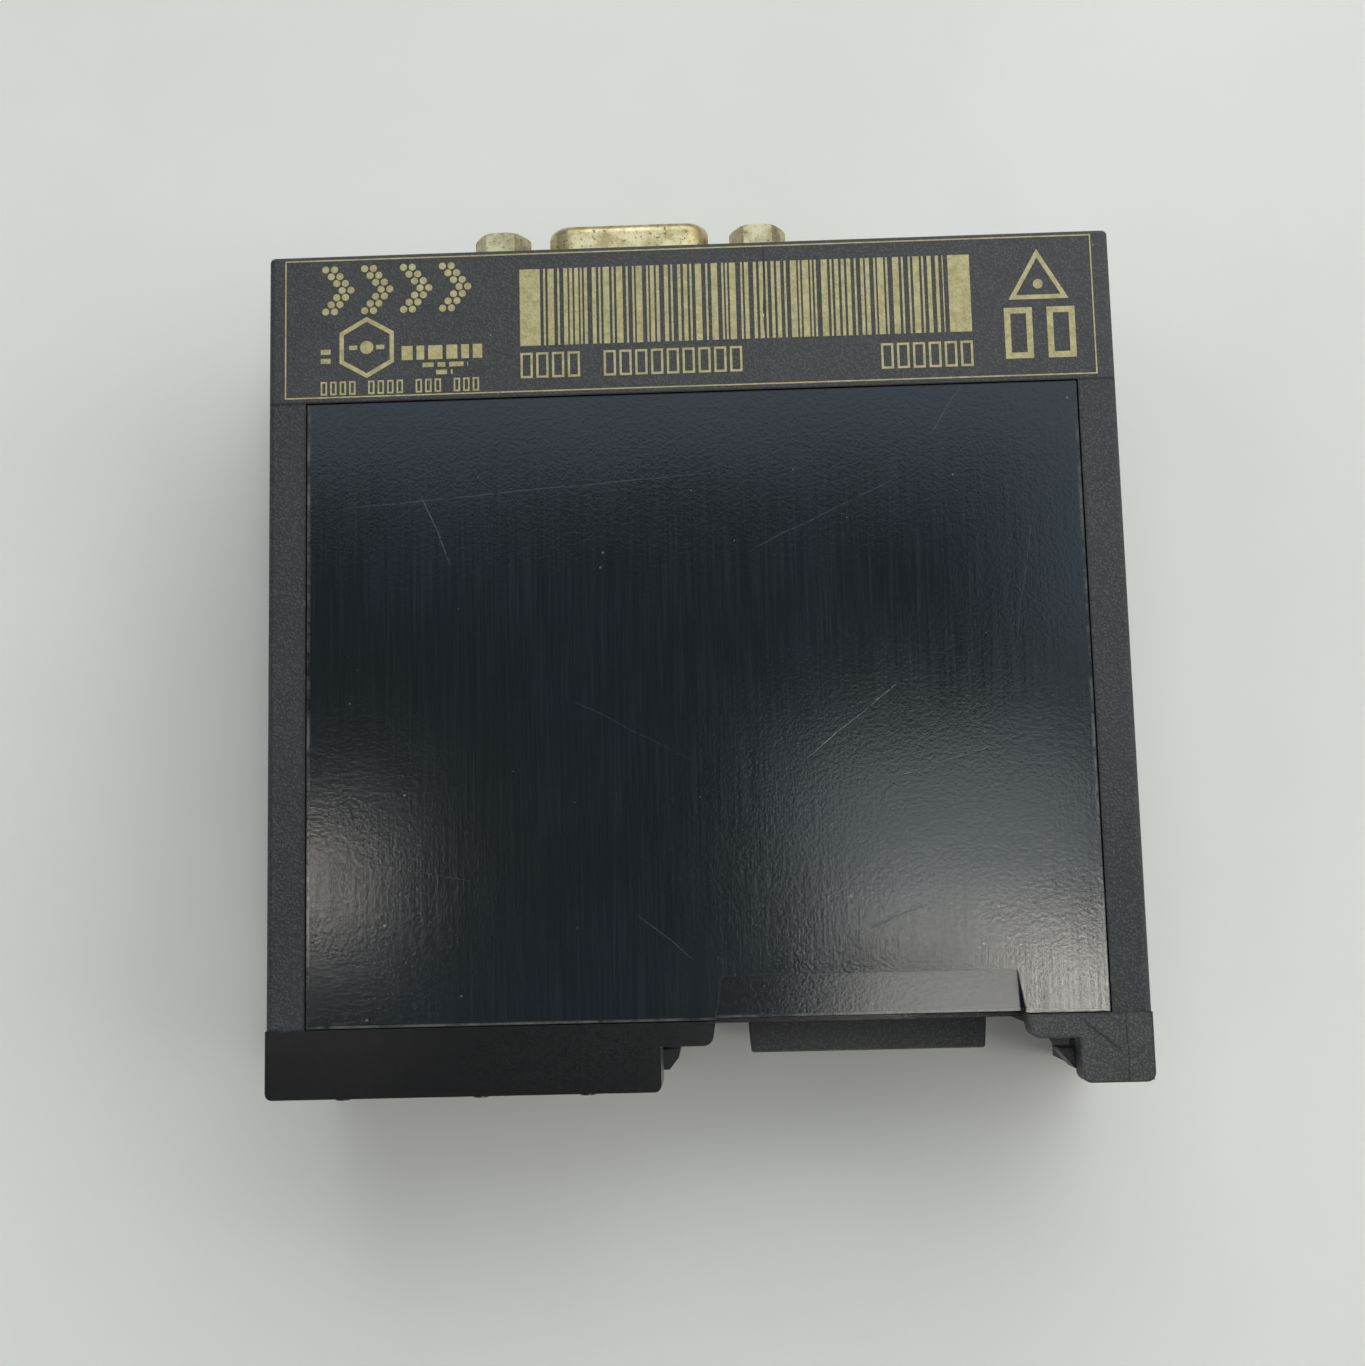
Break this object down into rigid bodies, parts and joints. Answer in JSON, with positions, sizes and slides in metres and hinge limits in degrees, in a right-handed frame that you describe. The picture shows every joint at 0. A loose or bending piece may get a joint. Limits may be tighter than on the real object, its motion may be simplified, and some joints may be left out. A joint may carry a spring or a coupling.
{
  "type": "plc module",
  "caption": "Slim rail-mounted PLC communication module, lying on its side: grained front cap with a D-sub port, glossy side cover, and a rear base with a sliding rail clip.",
  "frame": {"origin": "under the middle of the module's bounding box, on the face it lies on (its left side)", "axes": "+Z is the module's right side, up as it lies; -Y is its front, with the port; +Y is its rear, with the rail slot; -X is its top edge when it hangs on a rail"},
  "size_m": [0.076, 0.0812, 0.0254],
  "materials": {
    "cap_plastic": "fine leather grain",
    "shell_plastic": "fine leather grain",
    "cover_plastic": "smooth, scuffed",
    "base_plastic": "fine leather grain",
    "clip_plastic": "satin",
    "spring_steel": "drawn wire",
    "plated_shell": "yellow zinc plating",
    "insulator_black": "satin",
    "gold_contact": "polished",
    "plated_steel": "zinc plating",
    "plated_screw": "yellow zinc plating",
    "socket_plastic": "fine leather grain",
    "board_laminate": "solder mask",
    "screw_steel": "plated",
    "chip_black": "moulded epoxy",
    "tin_lead": "tinned",
    "coupler_white": "moulded epoxy",
    "converter_case": "potted case",
    "crystal_can": "drawn can",
    "capacitor_can": "bare can",
    "ferrite": "ferrite",
    "resistor_body": "glazed",
    "led_body": "clear cap",
    "light_pipe": "clear",
    "foil_grey": "printed foil",
    "card_white": "card",
    "window_clear": "clear"
  },
  "bodies": {
    "module": {"board_screws": "screw_steel", "body_shell": "shell_plastic", "bus_chip": "chip_black", "bus_contacts": "gold_contact", "bus_socket": "socket_plastic", "capacitor_seats": "chip_black", "capacitors": "capacitor_can", "card_window": "window_clear", "chip_leads": "tin_lead", "chip_resistors": "resistor_body", "choke": "ferrite", "clip_spring": "spring_steel", "controller_chip": "chip_black", "crystal": "crystal_can", "driver_chip": "chip_black", "front_cap": "cap_plastic", "jack_nuts": "plated_steel", "jack_washers": "plated_screw", "jackscrews": "plated_screw", "light_pipes": "light_pipe", "main_board": "board_laminate", "memory_chip": "chip_black", "name_card": "card_white", "optocouplers": "coupler_white", "port_bracket": "plated_steel", "port_contacts": "gold_contact", "port_insulator": "insulator_black", "port_shell": "plated_shell", "power_converter": "converter_case", "rear_base": "base_plastic", "side_cover": "cover_plastic", "status_foil": "foil_grey", "status_leds": "led_body"},
    "rail_clip": {"rail_clip": "clip_plastic"}
  },
  "joints": [
    {"name": "rail_clip_slide", "type": "slide", "parent": "module", "child": "rail_clip", "axis": [1, 0, 0], "range_m": [0, 0.003], "stiffness_N_per_m": 150, "springref_m": -0.008, "deforming": ["clip_spring"]}
  ]
}
